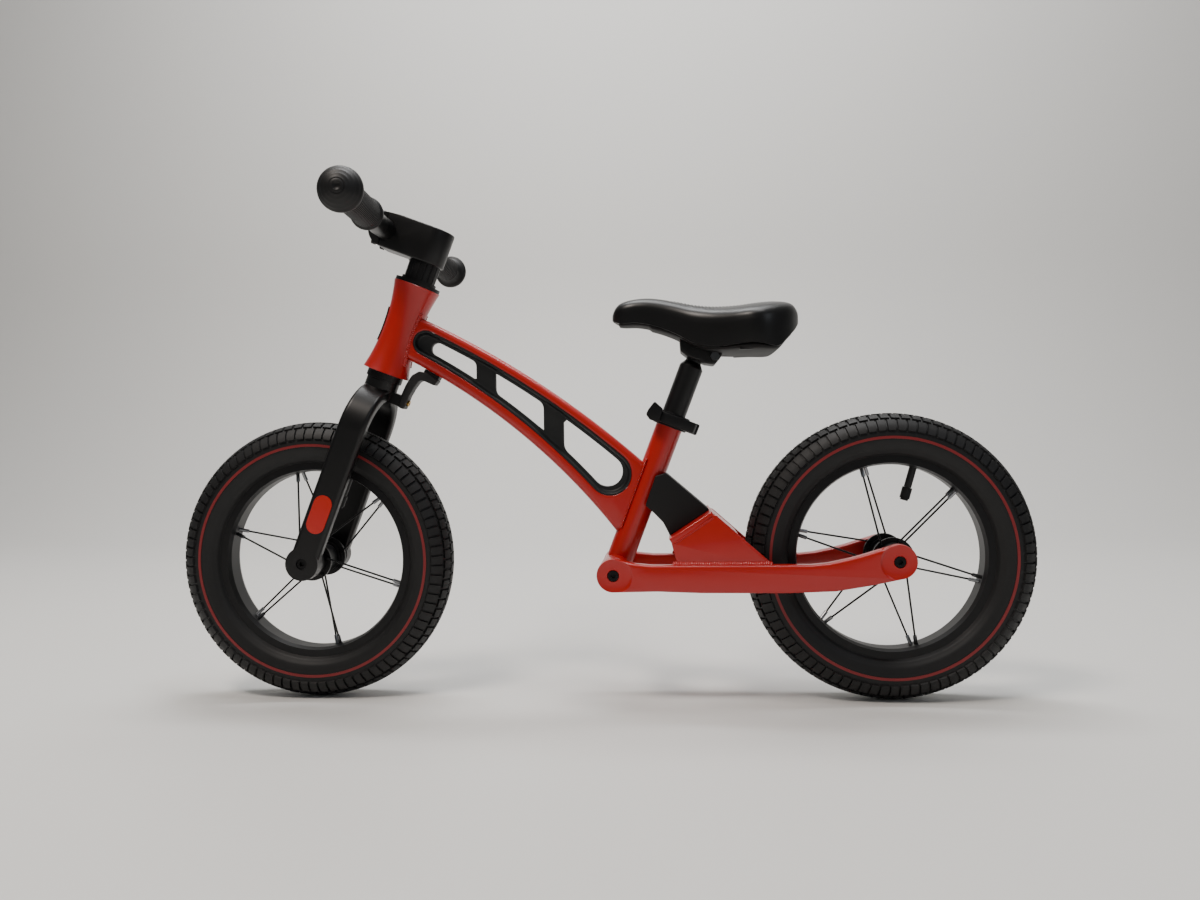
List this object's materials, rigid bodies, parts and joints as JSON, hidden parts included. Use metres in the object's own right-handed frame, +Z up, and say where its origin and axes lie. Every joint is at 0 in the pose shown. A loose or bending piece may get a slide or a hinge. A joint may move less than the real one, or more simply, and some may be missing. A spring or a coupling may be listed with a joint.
{
  "type": "balance bike",
  "caption": "Child's pedal-less balance bike with spoked air-tyre wheels, a sprung rear swingarm, straight fork, swept handlebar and a height-adjustable saddle.",
  "frame": {"origin": "on the ground, midway between the two wheel axles and on the bike's centre plane; the centre of the bounding box's base", "axes": "+X to the rear of the bike, +Y to the rider's right, +Z up"},
  "size_m": [0.9169, 0.4342, 0.5281],
  "materials": {
    "red_paint": "gloss powder coat",
    "black_paint": "satin powder coat",
    "black_alloy": "matte black anodised",
    "black_steel": "black oxide",
    "steel": "plain",
    "nipple_metal": "bright",
    "brass": "plain",
    "insert_plastic": "fine moulded texture",
    "trim_plastic": "moulded",
    "base_plastic": "moulded",
    "red_trim": "gloss",
    "elastomer_rubber": "matte",
    "strap_rubber": "matte",
    "grip_rubber": "fine ribs",
    "tube_rubber": "plain",
    "tyre_rubber": "block tread",
    "stripe_rubber": "smooth",
    "saddle_cover": "smooth synthetic cover over foam"
  },
  "bodies": {
    "frame": {"main_frame": "red_paint", "beam_insert_left": "insert_plastic", "beam_insert_right": "insert_plastic", "head_badge": "trim_plastic", "headset_bearings": "steel", "seat_clamp": "black_alloy", "clamp_skewer": "steel", "clamp_nut": "black_alloy", "pivot_bushes": "trim_plastic", "limiter_anchor": "trim_plastic", "limiter_strap": "strap_rubber"},
    "steering": {"fork": "black_paint", "fork_reflectors": "red_trim", "crown_race": "black_alloy", "headset_cap": "black_alloy", "stem_spacer": "black_alloy", "stem": "black_paint", "stem_faceplate": "black_paint", "stem_bolts": "black_steel", "faceplate_bolts": "black_steel", "stem_cap": "black_alloy", "stem_cap_bolt": "black_steel", "handlebar": "black_paint", "grip_left": "grip_rubber", "grip_right": "grip_rubber", "front_axle": "steel", "front_axle_bolts": "black_steel", "limiter_screw": "brass"},
    "front_wheel": {"front_tyre": "tyre_rubber", "front_tyre_stripes": "stripe_rubber", "front_inner_tube": "tube_rubber", "front_rim": "black_alloy", "front_hub": "black_alloy", "front_spokes": "black_steel", "front_nipples": "nipple_metal", "front_bearings": "steel", "front_valve_cap": "trim_plastic"},
    "rear_swingarm": {"swingarm": "red_paint", "elastomer": "elastomer_rubber", "elastomer_screws": "black_steel", "pivot_axle": "steel", "pivot_bolts": "black_steel", "rear_axle": "steel", "rear_axle_bolts": "black_steel"},
    "rear_wheel": {"rear_tyre": "tyre_rubber", "rear_tyre_stripes": "stripe_rubber", "rear_inner_tube": "tube_rubber", "rear_rim": "black_alloy", "rear_hub": "black_alloy", "rear_spokes": "black_steel", "rear_nipples": "nipple_metal", "rear_bearings": "steel", "rear_valve_cap": "trim_plastic"},
    "seat": {"seat_post": "black_paint", "saddle_clamp": "trim_plastic", "saddle_bolt": "steel", "saddle_base": "base_plastic", "saddle_pad": "saddle_cover"},
    "lever": {"clamp_lever": "black_alloy"}
  },
  "joints": [
    {"name": "steering", "type": "hinge", "parent": "frame", "child": "steering", "pos_m": [-0.21108, 0, 0.40036], "axis": [0.3616, 0, 0.9323], "range_deg": [-35, 35], "deforming": ["limiter_strap"]},
    {"name": "front_wheel_spin", "type": "hinge", "parent": "steering", "child": "front_wheel", "pos_m": [-0.308, 0, 0.1505], "axis": [0, -1, 0], "continuous": true},
    {"name": "swingarm_pivot", "type": "hinge", "parent": "frame", "child": "rear_swingarm", "pos_m": [0.0205, 0, 0.1375], "axis": [0, -1, 0], "range_deg": [0, 4], "stiffness_Nm_per_rad": 250, "springref_deg": -1.72, "deforming": ["elastomer"]},
    {"name": "rear_wheel_spin", "type": "hinge", "parent": "rear_swingarm", "child": "rear_wheel", "pos_m": [0.308, 0, 0.1505], "axis": [0, -1, 0], "continuous": true},
    {"name": "seat_height", "type": "slide", "parent": "frame", "child": "seat", "axis": [0.3616, 0, 0.9323], "range_m": [-0.05, 0.045]},
    {"name": "lever_swing", "type": "hinge", "parent": "frame", "child": "lever", "pos_m": [0.10407, -0.016, 0.28796], "axis": [0.3616, 0, 0.9323], "range_deg": [0, 150]}
  ]
}
